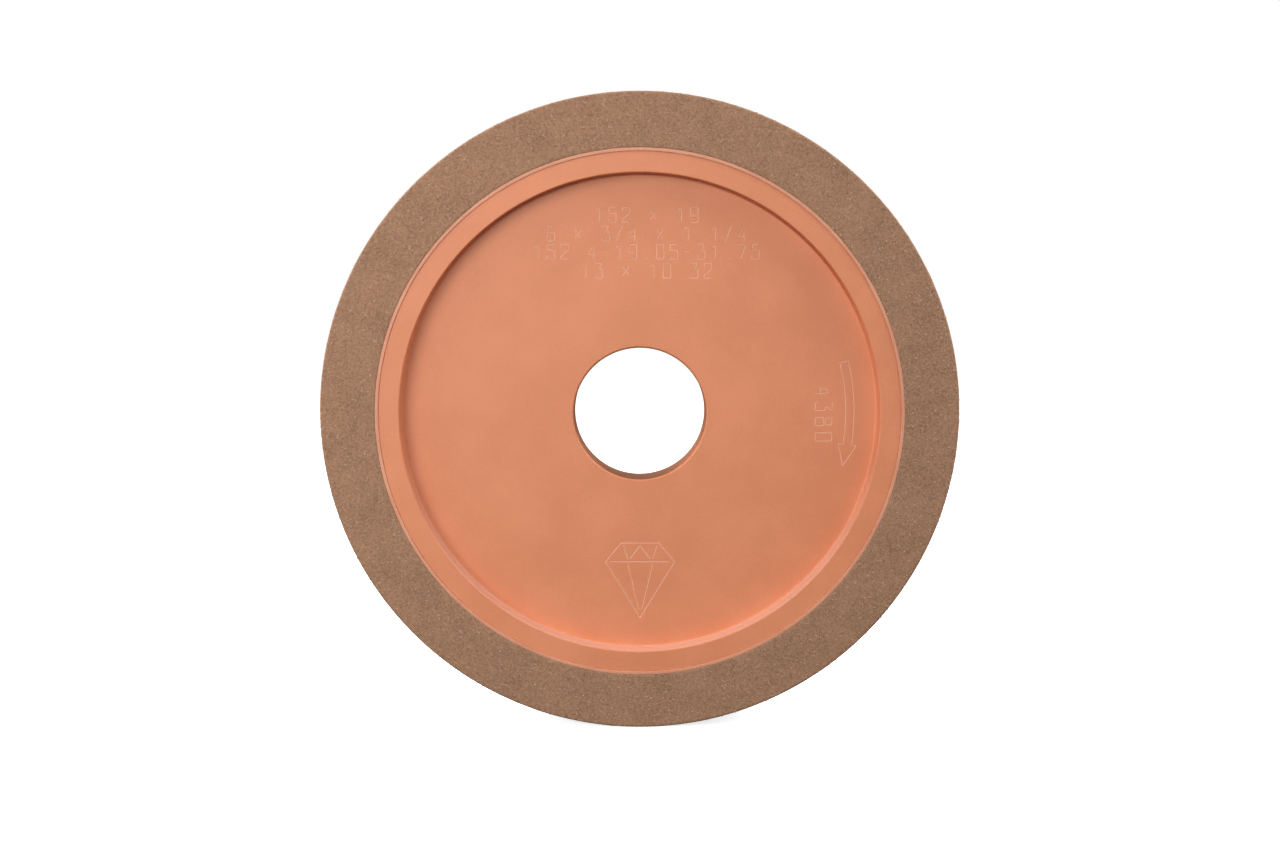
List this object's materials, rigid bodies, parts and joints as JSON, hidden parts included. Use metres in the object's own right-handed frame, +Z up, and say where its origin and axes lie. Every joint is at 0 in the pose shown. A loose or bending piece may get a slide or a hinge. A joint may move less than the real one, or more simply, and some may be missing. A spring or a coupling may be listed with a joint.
{
  "type": "diamond grinding wheel",
  "caption": "Straight diamond grinding wheel: a moulded hub with a flange recess in each side and a plain arbor bore, a thin backing ring, and a wide resin-bonded diamond rim.",
  "frame": {"origin": "centre of the wheel, on its axis and midway between its two faces", "axes": "+Y along the wheel's axis from the front face to the back face, +Z up, +X to the right as the front face is seen"},
  "size_m": [0.1524, 0.019, 0.1524],
  "materials": {
    "hub_resin": "satin",
    "backing_resin": "matte",
    "diamond_bond": "matte"
  },
  "bodies": {
    "root": {"hub_core": "hub_resin", "backing_ring": "backing_resin", "diamond_rim": "diamond_bond"}
  },
  "joints": []
}
